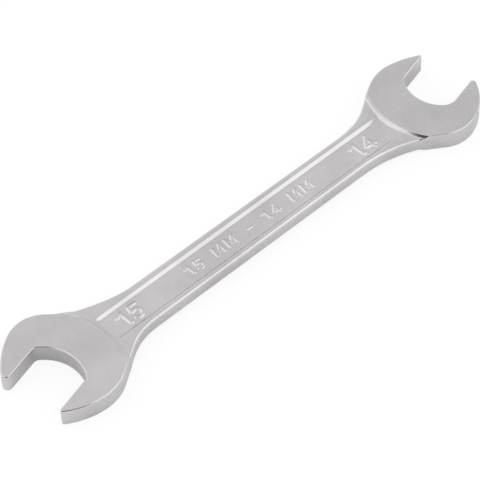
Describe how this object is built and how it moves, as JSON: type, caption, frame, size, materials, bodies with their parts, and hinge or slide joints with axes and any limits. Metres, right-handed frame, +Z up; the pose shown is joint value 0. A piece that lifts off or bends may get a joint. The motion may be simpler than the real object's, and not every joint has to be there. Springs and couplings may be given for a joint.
{
  "type": "open end wrench",
  "caption": "Forged double open end wrench with a slim panelled shank and an angled open jaw at each end, for turning hexagon nuts and bolt heads.",
  "frame": {"origin": "on the plane that the wrench lies on, below the middle of its length and width", "axes": "+X along the shank towards the 14 mm head, +Y across the shank, +Z up through the two flat faces"},
  "size_m": [0.1404, 0.0294, 0.0058],
  "materials": {
    "chrome": "satin"
  },
  "bodies": {
    "root": {"forged_body": "chrome"}
  },
  "joints": []
}
